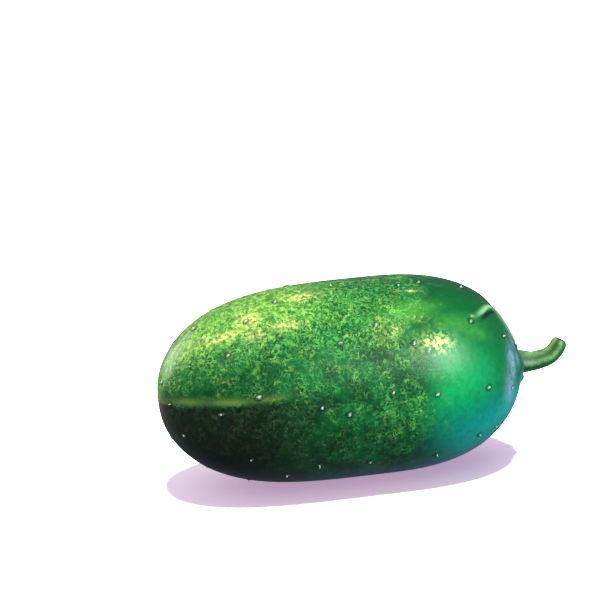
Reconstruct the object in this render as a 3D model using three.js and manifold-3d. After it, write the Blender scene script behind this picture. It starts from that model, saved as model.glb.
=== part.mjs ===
// A gherkin as picked: one plump, warty fruit and the short curved stem that it hung by.
// Millimetres, +Z up. +X runs along the fruit from the blossom end to the stem, and the
// origin is under the middle of its length, on the small flat of the belly that it rests on.
import * as THREE from "three";
import { mergeVertices } from "three/addons/utils/BufferGeometryUtils.js";
import Module from "manifold-3d";

const wasm = await Module();
wasm.setup();

// The fruit.
const FRUIT_LENGTH = 95;
const FRUIT_RADIUS = 25.6;
const WIDEST_PLACE = 8; // how far the widest place is from the middle of the length
const BLOSSOM_FULLNESS = 3.42; // power of the outline from there to the blossom: 2 is an ellipse
const SHOULDER_FULLNESS = 2.74; // the same from there to the stem
const BEND = 2; // how far both ends swing to -Y
const LOBE_SHARE = 0.012; // how far the three seed chambers swell the skin, as a share of the radius
const LOBE_COUNT = 3;
const LOBE_TURN = Math.PI / 2; // one lobe is on top, so a flatter side is underneath
const BELLY_FLAT_DEPTH = 0.45; // the belly is pressed flat by this much where it rests
const FRUIT_RINGS = 30;
const FRUIT_SIDES = 44;

// The shoulder is pressed in on top, beside the stem.
const PRESS_DEPTH = 1.6;
const PRESS_REACH = 14;
const PRESS_PLACE = [9.5, 95]; // skin distance from the stem's middle, degrees round from the front

// The warts, in staggered rows from end to end.
const WART_ROWS = 10;
const WART_PITCH = 12.5;
const WART_BASE_RADIUS = 1;
const WART_TOP_RADIUS = 0.35;
const WART_HEIGHT = 0.45;
const WART_ROOT = 0.4; // how deep each wart's own solid reaches into the fruit
const WART_SIDES = 5;
const WART_STAGGER = [0.25, 0.75]; // where the even and the odd rows start, as a share of the spacing
const WART_SCATTER = 0.7; // how far a wart strays from its place, as a share of the spacing
const WART_FREE_ENDS = [6, 12]; // bare skin at the blossom end and round the stem
const WART_FREE_BELLY = [22, 9]; // half length and half width of the bare patch on the belly

// The fold in the shoulder: a lip with a groove on the stem's side of it.
const FOLD_LIP_RADIUS = 0.8;
const FOLD_LIP_SINK = 0.25;
const FOLD_GROOVE_RADIUS = 0.7;
const FOLD_GROOVE_RISE = 0.1;
const FOLD_GROOVE_OFFSET = 1.35;
const FOLD_STEPS = 26;
// Where the lip runs: [skin distance from the stem's middle, degrees round from the front].
const FOLD_STATIONS = [
  [7.5, 62],
  [10.5, 63],
  [13.5, 66],
  [16.5, 70],
  [19, 71],
  [21.5, 66],
  [24.5, 56],
  [27.5, 48],
];

// The stem, and the raised collar of skin that it stands in.
const STEM_BASE_RADIUS = 2.7;
const STEM_TIP_RADIUS = 2.05;
const STEM_RIDGES = 5;
const STEM_RIDGE_SHARE = 0.07;
const STEM_RINGS = 18;
const STEM_SIDES = 20;
// The stem's middle line from the bottom of its socket: [along the fruit, up].
const STEM_LINE = [
  [-1.0, 0.1],
  [2.7, -0.2],
  [5.0, 0.0],
  [7.8, 0.8],
  [9.7, 2.5],
  [11.0, 4.8],
];
const COLLAR_RADIUS = 4.6;
const COLLAR_HEIGHT = 0.6;
const SOCKET_DEPTH = 1.3;
const GAP = 0.3; // between the stem and its socket

const HALF_LENGTH = FRUIT_LENGTH / 2;
const lobed = (around) => 1 + LOBE_SHARE * Math.cos(LOBE_COUNT * (around - LOBE_TURN));
const AXIS_HEIGHT = FRUIT_RADIUS * lobed(-Math.PI / 2) - BELLY_FLAT_DEPTH;

// Half of the fruit's outline, from the blossom end to the stem: x is the radius, y the place along.
class Meridian extends THREE.Curve {
  getPoint(t) {
    const turn = (t - 0.5) * Math.PI;
    const reach = turn < 0 ? -HALF_LENGTH - WIDEST_PLACE : HALF_LENGTH - WIDEST_PLACE;
    const power = 2 / (turn < 0 ? BLOSSOM_FULLNESS : SHOULDER_FULLNESS);
    const radius = t === 0 || t === 1 ? 0 : FRUIT_RADIUS * Math.cos(turn);
    return new THREE.Vector2(radius, WIDEST_PLACE + reach * Math.abs(Math.sin(turn)) ** power);
  }
}

const meridian = new Meridian();
meridian.arcLengthDivisions = 400;
const SKIN_LENGTH = meridian.getLength();

// The bend of the fruit's axis at a place along it: its sideways shift and its heading about Z.
const axisShift = (along) => -BEND * (along / HALF_LENGTH) ** 2;
const axisHeading = (along) => Math.atan((-2 * BEND * along) / HALF_LENGTH ** 2);

// A point at a radius from the bent axis. Around is 0 at the front, -Y, and a quarter turn on top.
function bareSkin(along, radius, around) {
  const heading = axisHeading(along);
  const out = radius * lobed(around) * Math.cos(around);
  return new THREE.Vector3(
    along + out * Math.sin(heading),
    axisShift(along) - out * Math.cos(heading),
    AXIS_HEIGHT + radius * lobed(around) * Math.sin(around),
  );
}

// The middle of the pressed shoulder, and the way in from there.
const [pressFromStem, pressDegrees] = PRESS_PLACE;
const pressed = meridian.getPointAt(1 - pressFromStem / SKIN_LENGTH);
const pressCentre = bareSkin(pressed.y, pressed.x, THREE.MathUtils.degToRad(pressDegrees));
const pressInwards = new THREE.Vector3(WIDEST_PLACE, axisShift(WIDEST_PLACE), AXIS_HEIGHT)
  .sub(pressCentre)
  .normalize();

function placeRound(along, radius, around) {
  const point = bareSkin(along, radius, around);
  const away = Math.min(1, point.distanceTo(pressCentre) / PRESS_REACH);
  return point.addScaledVector(pressInwards, (PRESS_DEPTH * (1 + Math.cos(Math.PI * away))) / 2);
}

// The skin at a distance along the meridian from the blossom end.
function skinPoint(distance, around) {
  const { x: radius, y: along } = meridian.getPointAt(distance / SKIN_LENGTH);
  return placeRound(along, radius, around);
}

function skinNormal(distance, around) {
  const step = 0.05;
  const lengthwise = skinPoint(distance + step, around).sub(skinPoint(distance - step, around));
  const turn = step / FRUIT_RADIUS;
  const crosswise = skinPoint(distance, around + turn).sub(skinPoint(distance, around - turn));
  return lengthwise.cross(crosswise).normalize();
}

// A closed three.js geometry as a solid that can be joined and cut.
function solidOf(geometry) {
  const bare = geometry.clone();
  bare.deleteAttribute("normal");
  bare.deleteAttribute("uv");
  const merged = mergeVertices(bare, 1e-4);
  return new wasm.Manifold(
    new wasm.Mesh({
      numProp: 3,
      vertProperties: new Float32Array(merged.attributes.position.array),
      triVerts: new Uint32Array(merged.index.array),
    }),
  );
}

function geometryOf(solid) {
  const mesh = solid.getMesh();
  const geometry = new THREE.BufferGeometry();
  geometry.setAttribute("position", new THREE.BufferAttribute(mesh.vertProperties, 3));
  geometry.setIndex(new THREE.BufferAttribute(mesh.triVerts, 1));
  geometry.computeVertexNormals();
  return geometry;
}

// Moves every vertex of a geometry to the place that a function gives for it.
function reshape(geometry, placeOf) {
  const position = geometry.attributes.position;
  const vertex = new THREE.Vector3();
  for (let i = 0; i < position.count; i++) {
    const { x, y, z } = placeOf(vertex.fromBufferAttribute(position, i));
    position.setXYZ(i, x, y, z);
  }
  return geometry;
}

// The whole body: the meridian turned about its axis, then bent and lobed.
function fruitBody() {
  const lathe = new THREE.LatheGeometry(meridian.getSpacedPoints(FRUIT_RINGS), FRUIT_SIDES);
  return reshape(lathe, ({ x, y, z }) => placeRound(y, Math.hypot(x, z), Math.atan2(z, x)));
}

// A number from 0 to 1 that looks random and is the same on every run.
function scatter(row, place) {
  const mixed = Math.sin(row * 12.9898 + place * 78.233) * 43758.5453;
  return mixed - Math.floor(mixed);
}

// [distance, around] of every wart.
function wartSites() {
  const sites = [];
  const [bareBlossom, bareStem] = WART_FREE_ENDS;
  for (let row = 0; row < WART_ROWS; row++) {
    const perRow = Math.floor(SKIN_LENGTH / WART_PITCH);
    for (let place = 0; place < perRow; place++) {
      const stray = WART_SCATTER * (scatter(row, place) - 0.5);
      const sidestep = WART_SCATTER * (scatter(place + WART_ROWS, row) - 0.5);
      const distance = (place + WART_STAGGER[row % 2] + stray) * WART_PITCH;
      const around = ((row + sidestep) * 2 * Math.PI) / WART_ROWS - Math.PI;
      if (distance > bareBlossom && distance < SKIN_LENGTH - bareStem && !onBelly(distance, around)) {
        sites.push([distance, around]);
      }
    }
  }
  return sites;
}

// Whether a place is on the patch that the fruit rests on, or close to it.
function onBelly(distance, around) {
  const [halfLength, halfWidth] = WART_FREE_BELLY;
  const { x, y, z } = skinPoint(distance, around);
  return z < AXIS_HEIGHT && Math.abs(x) < halfLength && Math.abs(y) < halfWidth;
}

function wart(distance, around) {
  const height = WART_HEIGHT + WART_ROOT;
  const cone = new THREE.CylinderGeometry(WART_TOP_RADIUS, WART_BASE_RADIUS, height, WART_SIDES);
  cone.translate(0, height / 2 - WART_ROOT, 0);
  const outwards = skinNormal(distance, around);
  const upright = new THREE.Vector3(0, 1, 0);
  cone.applyQuaternion(new THREE.Quaternion().setFromUnitVectors(upright, outwards));
  const foot = skinPoint(distance, around);
  return solidOf(cone.translate(foot.x, foot.y, foot.z));
}

// A round bead along the fold, moved to the stem's side of its line and raised off the skin.
function foldBead(radius, offset, rise) {
  const radians = FOLD_STATIONS.map(([fromStem, degrees]) => [
    SKIN_LENGTH - fromStem,
    THREE.MathUtils.degToRad(degrees),
  ]);
  const onSkin = new THREE.CatmullRomCurve3(radians.map((place) => skinPoint(...place)));
  const points = radians.map(([distance, around], i) => {
    const outwards = skinNormal(distance, around);
    const heading = onSkin.getTangent(i / (radians.length - 1));
    const stemwards = new THREE.Vector3().crossVectors(outwards, heading).normalize();
    const onLine = skinPoint(distance, around).addScaledVector(stemwards, offset);
    return onLine.addScaledVector(outwards, rise);
  });
  const section = new THREE.Shape().absarc(0, 0, radius, 0, 2 * Math.PI);
  const bead = new THREE.ExtrudeGeometry(section, {
    steps: FOLD_STEPS,
    curveSegments: 8,
    extrudePath: new THREE.CatmullRomCurve3(points),
  });
  return solidOf(bead);
}

// The place and heading of the stem's foot, on the fruit's end.
const stemFoot = new THREE.Matrix4()
  .makeRotationZ(axisHeading(HALF_LENGTH))
  .setPosition(HALF_LENGTH, axisShift(HALF_LENGTH), AXIS_HEIGHT);

// A solid turned about the fruit's axis at the stem's foot, from [radius, along] pairs.
function turnedAtStem(profile) {
  const points = profile.map(([radius, along]) => new THREE.Vector2(radius, along));
  const turned = new THREE.LatheGeometry(points, STEM_SIDES);
  return solidOf(turned.rotateZ(-Math.PI / 2).applyMatrix4(stemFoot));
}

function collar() {
  return turnedAtStem([
    [0, -COLLAR_RADIUS],
    [COLLAR_RADIUS, -COLLAR_RADIUS / 2],
    [COLLAR_RADIUS, 0],
    [(COLLAR_RADIUS + STEM_BASE_RADIUS) / 2, COLLAR_HEIGHT],
    [0, COLLAR_HEIGHT],
  ]);
}

function socket() {
  const radius = STEM_BASE_RADIUS * (1 + STEM_RIDGE_SHARE) + GAP;
  return turnedAtStem([
    [0, -SOCKET_DEPTH],
    [radius, -SOCKET_DEPTH],
    [radius, 2 * COLLAR_HEIGHT],
    [0, 2 * COLLAR_HEIGHT],
  ]);
}

// Everything below the floor plane, which cuts the flat on the belly.
function belowTheBelly() {
  const depth = 10;
  const block = new THREE.BoxGeometry(2 * FRUIT_LENGTH, FRUIT_LENGTH, depth);
  return solidOf(block.translate(0, 0, -depth / 2));
}

function fruitMesh() {
  let fruit = solidOf(fruitBody());
  for (const [distance, around] of wartSites()) {
    fruit = fruit.add(wart(distance, around));
  }
  fruit = fruit.add(foldBead(FOLD_LIP_RADIUS, 0, -FOLD_LIP_SINK));
  fruit = fruit.subtract(foldBead(FOLD_GROOVE_RADIUS, FOLD_GROOVE_OFFSET, FOLD_GROOVE_RISE));
  fruit = fruit.add(collar()).subtract(socket()).subtract(belowTheBelly());
  const skin = new THREE.MeshStandardMaterial({ color: 0x2f8a46, roughness: 0.35, metalness: 0 });
  const mesh = new THREE.Mesh(geometryOf(fruit), skin);
  mesh.name = "fruit";
  return mesh;
}

// The stem: a five-ridged rod that narrows to its cut end, bent along the stem's line.
function stemMesh() {
  const knots = STEM_LINE.map(([along, up]) => new THREE.Vector3(along, 0, up));
  const line = new THREE.CatmullRomCurve3(knots);
  const across = new THREE.Vector3(0, -1, 0);
  const rod = new THREE.CylinderGeometry(1, 1, 1, STEM_SIDES, STEM_RINGS);
  reshape(rod, ({ x, y, z }) => {
    const travel = y + 0.5;
    const around = Math.atan2(z, x);
    const ridged = 1 + STEM_RIDGE_SHARE * Math.cos(STEM_RIDGES * around);
    const taper = THREE.MathUtils.lerp(STEM_BASE_RADIUS, STEM_TIP_RADIUS, travel);
    const radius = Math.hypot(x, z) * ridged * taper;
    const upwards = new THREE.Vector3().crossVectors(across, line.getTangentAt(travel));
    return line
      .getPointAt(travel)
      .addScaledVector(across, radius * Math.cos(around))
      .addScaledVector(upwards, radius * Math.sin(around));
  });
  const rind = new THREE.MeshStandardMaterial({ color: 0x6fa552, roughness: 0.55, metalness: 0 });
  const mesh = new THREE.Mesh(rod, rind);
  mesh.name = "stem";
  mesh.applyMatrix4(stemFoot);
  return mesh;
}

const gherkin = new THREE.Group();
gherkin.add(fruitMesh(), stemMesh());

export default gherkin;
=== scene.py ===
"""A gherkin as picked, lying on a pale floor: its mottled, warty skin, its stem and its prickles."""
import logging
import math
from dataclasses import dataclass, field
from enum import Enum

import bpy
import numpy as np
from mathutils import Matrix, Vector


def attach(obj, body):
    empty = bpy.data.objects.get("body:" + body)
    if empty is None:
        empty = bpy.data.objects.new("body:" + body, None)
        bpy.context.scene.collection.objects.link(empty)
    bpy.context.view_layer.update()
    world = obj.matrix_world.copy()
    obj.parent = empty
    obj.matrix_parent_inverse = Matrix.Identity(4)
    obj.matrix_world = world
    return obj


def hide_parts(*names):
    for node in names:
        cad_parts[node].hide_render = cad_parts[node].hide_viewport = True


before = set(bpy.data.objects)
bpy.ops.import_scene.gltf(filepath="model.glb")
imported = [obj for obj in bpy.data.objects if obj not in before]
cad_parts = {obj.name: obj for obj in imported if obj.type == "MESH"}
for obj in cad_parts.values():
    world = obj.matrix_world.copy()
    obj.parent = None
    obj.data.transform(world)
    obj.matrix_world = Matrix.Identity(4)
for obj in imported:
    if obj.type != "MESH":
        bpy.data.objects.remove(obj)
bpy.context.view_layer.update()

MM = 0.001
# A distance, in metres, that is past everything on the fruit.
FAR = 1.0
FULL_TURN = 2.0 * math.pi
# The usual constants of a hash by sines.
HASH_ROW, HASH_PLACE, HASH_SCALE = 12.9898, 78.233, 43758.5453
LOG = logging.getLogger("gherkin")


class Body(Enum):
    """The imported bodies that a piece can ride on."""

    ROOT = "root"


class Slot(Enum):
    """The record's material slots."""

    SKIN = "skin"
    STEM_RIND = "stem_rind"
    SPINE = "spine"


def smooth(low: float, high: float, value: np.ndarray) -> np.ndarray:
    """Rises smoothly from 0 at low to 1 at high.

    Args:
        low: Where the rise starts.
        high: Where the rise ends. It may be less than low, which gives a fall.
        value: The values to look up.

    Returns:
        One share from 0 to 1 for each value.
    """
    share = np.clip((value - low) / (high - low), 0.0, 1.0)
    return share * share * (3.0 - 2.0 * share)


def bell(distance: np.ndarray, width: float) -> np.ndarray:
    """A bell curve: 1 at distance 0, and about a third at distance width."""
    return np.exp(-((distance / width) ** 2))


def scatter(row: np.ndarray | float, place: np.ndarray | float) -> np.ndarray | float:
    """A number from 0 to 1 that looks random and is the same on every run."""
    mixed = np.sin(row * HASH_ROW + place * HASH_PLACE) * HASH_SCALE
    return mixed - np.floor(mixed)


def unit(vectors: np.ndarray) -> np.ndarray:
    """Scales each row of an array of vectors to length 1."""
    return vectors / np.linalg.norm(vectors, axis=-1, keepdims=True)


def turn_gap(around: np.ndarray, centre: float) -> np.ndarray:
    """The signed angle from centre to around, taken the short way, in radians."""
    return (around - centre + math.pi) % FULL_TURN - math.pi


@dataclass(frozen=True)
class Fade:
    """A smooth rise from nothing, at empty, to strength, at full. Full may be the lesser of the two."""

    empty: float
    full: float
    strength: float = 1.0

    def at(self, value: np.ndarray) -> np.ndarray:
        """How far the rise has come at each value."""
        return self.strength * smooth(self.empty, self.full, value)


# ---------------------------------------------------------------------------------------------
# The fruit's ideal form, as the construction model has it
# ---------------------------------------------------------------------------------------------


@dataclass(frozen=True)
class Meridian:
    """Half of the fruit's outline, from the blossom end to the stem."""

    half_length: float = 47.5 * MM
    radius: float = 25.6 * MM
    widest: float = 8.0 * MM
    blossom_fullness: float = 3.42
    shoulder_fullness: float = 2.74
    steps: int = 4000

    def table(self) -> tuple[np.ndarray, np.ndarray, np.ndarray]:
        """The outline in small steps.

        Returns:
            The distance along the skin, the radius and the place along the fruit at each step.
        """
        turn = (np.linspace(0.0, 1.0, self.steps + 1) - 0.5) * math.pi
        swing = np.abs(np.sin(turn))
        blossom = -(self.half_length + self.widest) * swing ** (2.0 / self.blossom_fullness)
        shoulder = (self.half_length - self.widest) * swing ** (2.0 / self.shoulder_fullness)
        along = self.widest + np.where(turn < 0.0, blossom, shoulder)
        radius = self.radius * np.cos(turn)
        radius[[0, -1]] = 0.0
        walked = np.cumsum(np.hypot(np.diff(radius), np.diff(along)))
        return np.concatenate([[0.0], walked]), radius, along


@dataclass(frozen=True)
class Press:
    """The shoulder pressed in on top, beside the stem."""

    depth: float = 1.6 * MM
    reach: float = 14.0 * MM
    from_stem: float = 9.5 * MM
    around: float = math.radians(95.0)


@dataclass
class Skin:
    """The smooth skin: the meridian turned round a bent axis, lobed, and pressed at the shoulder."""

    meridian: Meridian = field(default_factory=Meridian)
    press: Press = field(default_factory=Press)
    bend: float = 2.0 * MM
    lobe_share: float = 0.012
    lobe_count: int = 3
    lobe_turn: float = math.pi / 2.0
    flat_depth: float = 0.45 * MM

    def __post_init__(self) -> None:
        """Works out what the other methods look up."""
        self._walk, self._radius, self._along = self.meridian.table()
        self.length = float(self._walk[-1])
        low_side = self.meridian.radius * float(self.lobed(np.array(-math.pi / 2.0)))
        self.axis_height = low_side - self.flat_depth
        distance = np.array(self.length - self.press.from_stem)
        around = np.array(self.press.around)
        self._press_centre = self._bare(*self.outline(distance), around)
        middle = self.meridian.widest
        core = np.array([middle, float(self.axis_shift(middle)), self.axis_height])
        self._press_inwards = unit(core - self._press_centre)

    def lobed(self, around: np.ndarray) -> np.ndarray:
        """How much the seed chambers swell the radius at an angle."""
        return 1.0 + self.lobe_share * np.cos(self.lobe_count * (around - self.lobe_turn))

    def axis_shift(self, along: np.ndarray | float) -> np.ndarray | float:
        """How far the bent axis has swung to the side at a place along the fruit."""
        return -self.bend * (along / self.meridian.half_length) ** 2

    def axis_heading(self, along: np.ndarray | float) -> np.ndarray | float:
        """The heading of the bent axis, about Z."""
        return np.arctan(-2.0 * self.bend * along / self.meridian.half_length**2)

    def outline(self, distance: np.ndarray) -> tuple[np.ndarray, np.ndarray]:
        """The radius and the place along the fruit, at a distance along the skin."""
        radius = np.interp(distance, self._walk, self._radius)
        return radius, np.interp(distance, self._walk, self._along)

    def _bare(self, radius: np.ndarray, along: np.ndarray, around: np.ndarray) -> np.ndarray:
        """Points round the bent axis, before the shoulder is pressed.

        Args:
            radius: The distance from the axis, before the lobes swell it.
            along: The place along the fruit.
            around: The angle from the front.

        Returns:
            One point for each set of values, in the frame.
        """
        heading = self.axis_heading(along)
        reach = radius * self.lobed(around)
        out = reach * np.cos(around)
        x = along + out * np.sin(heading)
        y = self.axis_shift(along) - out * np.cos(heading)
        return np.stack([x, y, self.axis_height + reach * np.sin(around)], axis=-1)

    def points(self, distance: np.ndarray, around: np.ndarray) -> np.ndarray:
        """Points of the skin.

        Args:
            distance: How far along the skin from the blossom end, in metres.
            around: The angle from the front, -Y, where a quarter turn is on top.

        Returns:
            One point for each pair, in the frame.
        """
        bare = self._bare(*self.outline(distance), around)
        away = np.linalg.norm(bare - self._press_centre, axis=-1) / self.press.reach
        share = (1.0 + np.cos(math.pi * np.minimum(1.0, away))) / 2.0
        return bare + self.press.depth * share[..., None] * self._press_inwards

    def normals(self, distance: np.ndarray, around: np.ndarray) -> np.ndarray:
        """The outward normals of the skin.

        Args:
            distance: How far along the skin from the blossom end, in metres.
            around: The angle from the front.

        Returns:
            One unit normal for each pair.
        """
        step = 0.05 * MM
        inside = np.clip(distance, 2.0 * step, self.length - 2.0 * step)
        turn = 0.002
        lengthwise = self.points(inside + step, around) - self.points(inside - step, around)
        crosswise = self.points(inside, around + turn) - self.points(inside, around - turn)
        return unit(np.cross(lengthwise, crosswise))

    def stem_foot(self) -> Matrix:
        """The place and heading of the stem's foot, on the fruit's end.

        Returns:
            The matrix that carries the stem's own X onto the fruit's axis there.
        """
        end = self.meridian.half_length
        turned = Matrix.Rotation(float(self.axis_heading(end)), 4, "Z")
        return Matrix.Translation((end, float(self.axis_shift(end)), self.axis_height)) @ turned


@dataclass
class Warts:
    """The warts, in staggered rows from end to end."""

    rows: int = 10
    pitch: float = 12.5 * MM
    # How far into its first pitch a row starts, as shares: even rows and odd rows.
    row_starts: tuple[float, float] = (0.25, 0.75)
    stray: float = 0.7
    bare_blossom: float = 6.0 * MM
    bare_stem: float = 12.0 * MM
    # The half length and half width of the place underneath that bears none.
    bare_belly: tuple[float, float] = (22.0 * MM, 9.0 * MM)

    def sites(self, skin: Skin) -> np.ndarray:
        """Where the warts are.

        Args:
            skin: The skin that they stand on.

        Returns:
            One row for each wart: its distance along the skin and its angle around.
        """
        places = np.arange(int(skin.length / self.pitch))
        row, place = np.meshgrid(np.arange(self.rows), places, indexing="ij")
        row, place = row.ravel().astype(float), place.ravel().astype(float)
        stagger = np.where(row % 2 == 1, self.row_starts[1], self.row_starts[0])
        onwards = self.stray * (scatter(row, place) - 0.5)
        sidestep = self.stray * (scatter(place + self.rows, row) - 0.5)
        distance = (place + stagger + onwards) * self.pitch
        around = (row + sidestep) * FULL_TURN / self.rows - math.pi
        point = skin.points(distance, around)
        belly = point[:, 2] < skin.axis_height
        belly &= (np.abs(point[:, :2]) < self.bare_belly).all(axis=1)
        kept = (distance > self.bare_blossom) & (distance < skin.length - self.bare_stem) & ~belly
        return np.stack([distance, around], axis=1)[kept]


@dataclass
class Fold:
    """The fold in the shoulder: a lip that runs from the stem over the top and hooks forward."""

    # Where the lip runs: skin distance from the stem's middle in mm, degrees round from the front.
    stations: tuple[tuple[float, float], ...] = (
        (7.5, 62.0),
        (10.5, 63.0),
        (13.5, 66.0),
        (16.5, 70.0),
        (19.0, 71.0),
        (21.5, 66.0),
        (24.5, 56.0),
        (27.5, 48.0),
    )
    samples: int = 240
    lip_height: float = 0.8 * MM
    lip_width: float = 0.65 * MM
    groove_depth: float = 0.6 * MM
    groove_width: float = 0.65 * MM
    groove_offset: float = 1.35 * MM
    overhang: float = 0.35 * MM
    # Shares of the way to the hook's end: the fold tapers off over the last part of it, and its lip
    # sinks by a share of its height.
    taper: Fade = Fade(1.0, 0.8)
    sinking: float = 0.35
    # The pale paint on the lip, which lies a little to its outer side, and the painted shade in the groove.
    lip_paint: float = 1.25
    lip_paint_shift: float = 0.1 * MM
    lip_paint_width: float = 0.9
    groove_paint: float = 1.2
    # Skin further behind the line than this isn't surveyed.
    reach: float = 6.0 * MM

    def line(self, skin: Skin) -> np.ndarray:
        """The lip's middle line.

        Args:
            skin: The skin that the fold lies in.

        Returns:
            Points of the skin, from the stem to the hook's end.
        """
        knots = np.array(self.stations)
        place = np.linspace(0.0, len(knots) - 1.0, self.samples)
        from_stem = catmull_rom(knots[:, 0], place)
        degrees = catmull_rom(knots[:, 1], place)
        return skin.points(skin.length - from_stem * MM, np.radians(degrees))

    def survey(
        self, skin: Skin, points: np.ndarray, normals: np.ndarray
    ) -> tuple[np.ndarray, np.ndarray, np.ndarray]:
        """How each point lies to the lip's middle line.

        Args:
            skin: The skin that the fold lies in.
            points: Points of the skin.
            normals: Their outward normals.

        Returns:
            The signed distance, which is positive on the stem's side of the line; how far along the
            line the nearest place is, from 0 at the stem to 1 at the hook's end; and the direction
            across the line there, towards the stem's side.
        """
        line = self.line(skin)
        heading = unit(np.gradient(line, axis=0))
        signed = np.full(len(points), FAR)
        travel = np.zeros(len(points))
        across = np.zeros_like(points)
        near = np.flatnonzero(points[:, 0] > line[:, 0].min() - self.reach)
        gaps = points[near, None, :] - line[None, :, :]
        nearest = np.linalg.norm(gaps, axis=2).argmin(axis=1)
        gap = gaps[np.arange(len(near)), nearest]
        across[near] = np.cross(normals[near], heading[nearest])
        side = np.einsum("ij,ij->i", gap, across[near])
        ahead = np.einsum("ij,ij->i", gap, heading[nearest])
        signed[near] = np.sign(side) * np.hypot(side, ahead)
        travel[near] = nearest / (self.samples - 1.0)
        return signed, travel, across


def catmull_rom(knots: np.ndarray, place: np.ndarray) -> np.ndarray:
    """A smooth curve through evenly spaced knots.

    Args:
        knots: The values to pass through.
        place: Where to look the curve up: 0 is the first knot and 1 the second.

    Returns:
        One value for each place.
    """
    padded = np.concatenate([[2 * knots[0] - knots[1]], knots, [2 * knots[-1] - knots[-2]]])
    before = np.minimum(place.astype(int), len(knots) - 2)
    t = place - before
    a, b, c, d = (padded[before + i] for i in range(4))
    bent = (2 * a - 5 * b + 4 * c - d) * t**2 + (3 * b - a - 3 * c + d) * t**3
    return b + 0.5 * ((c - a) * t + bent)


# ---------------------------------------------------------------------------------------------
# Node helpers and the shared groups
# ---------------------------------------------------------------------------------------------

Socket = bpy.types.NodeSocket
Link = Socket | float | tuple


class Graph:
    """Adds nodes to a node tree and links them."""

    def __init__(self, tree: bpy.types.NodeTree) -> None:
        """Keeps the tree that the nodes go into."""
        self.tree = tree

    def node(
        self, kind: str, inputs: dict[str | int, Link] | None = None, **settings: object
    ) -> bpy.types.Node:
        """Adds one node.

        Args:
            kind: The node's type name.
            inputs: What goes into its inputs: a socket is linked, and a value is set.
            **settings: The node's own properties.

        Returns:
            The node.
        """
        made = self.tree.nodes.new(kind)
        for name, value in settings.items():
            setattr(made, name, value)
        for name, value in (inputs or {}).items():
            self.feed(made.inputs[name], value)
        return made

    def feed(self, socket: Socket, value: Link) -> None:
        """Gives an input what goes into it.

        Args:
            socket: The input.
            value: A socket to link it to, or the value to set.
        """
        if isinstance(value, Socket):
            self.tree.links.new(value, socket)
        else:
            socket.default_value = value

    def math(self, operation: str, first: Link, second: Link = 0.0, third: Link = 0.0) -> Socket:
        """One step of arithmetic on numbers."""
        inputs = {0: first, 1: second, 2: third}
        return self.node("ShaderNodeMath", inputs, operation=operation).outputs[0]

    def ramp(
        self, value: Link, low: float, high: float, start: float = 0.0, end: float = 1.0
    ) -> Socket:
        """Rises smoothly from start, where value is low, to end, where it is high."""
        inputs = {"Value": value, "From Min": low, "From Max": high, "To Min": start, "To Max": end}
        return self.node("ShaderNodeMapRange", inputs, interpolation_type="SMOOTHSTEP").outputs[0]

    def mix(self, share: Link, first: Link, second: Link) -> Socket:
        """Mixes two colours.

        Args:
            share: How much of the second colour is taken, from 0 to 1.
            first: The first colour.
            second: The second colour.

        Returns:
            The mixed colour.
        """
        made = self.node("ShaderNodeMix", data_type="RGBA", clamp_factor=True)
        for socket, value in ((made.inputs[0], share), (made.inputs[6], first), (made.inputs[7], second)):
            self.feed(socket, value)
        return made.outputs[2]

    def noise(
        self, where: Link, per_mm: float, detail: float, rough: float = 0.5, warp: float = 0.0
    ) -> Socket:
        """Cloudy noise.

        Args:
            where: The place to look it up at.
            per_mm: How many clouds there are to the millimetre.
            detail: How many times finer clouds are laid over them.
            rough: How strong the finer clouds are.
            warp: How far the clouds are drawn into curls.

        Returns:
            The noise, from 0 to 1.
        """
        inputs = {"Vector": where, "Scale": per_mm / MM, "Detail": detail}
        inputs |= {"Roughness": rough, "Distortion": warp}
        return self.node("ShaderNodeTexNoise", inputs).outputs[0]

    def mask(self, name: str) -> Socket:
        """One of the mesh's own masks."""
        return self.node("ShaderNodeAttribute", attribute_name=name).outputs["Fac"]


def rgb(red: int, green: int, blue: int) -> tuple[float, float, float, float]:
    """Turns a display colour into the linear colour that a shader takes.

    Args:
        red: The red, from 0 to 255.
        green: The green, from 0 to 255.
        blue: The blue, from 0 to 255.

    Returns:
        The linear colour, with an alpha of 1.
    """
    shares = (value / 255.0 for value in (red, green, blue))
    linear = [s / 12.92 if s <= 0.04045 else ((s + 0.055) / 1.055) ** 2.4 for s in shares]
    return (*linear, 1.0)


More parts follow.
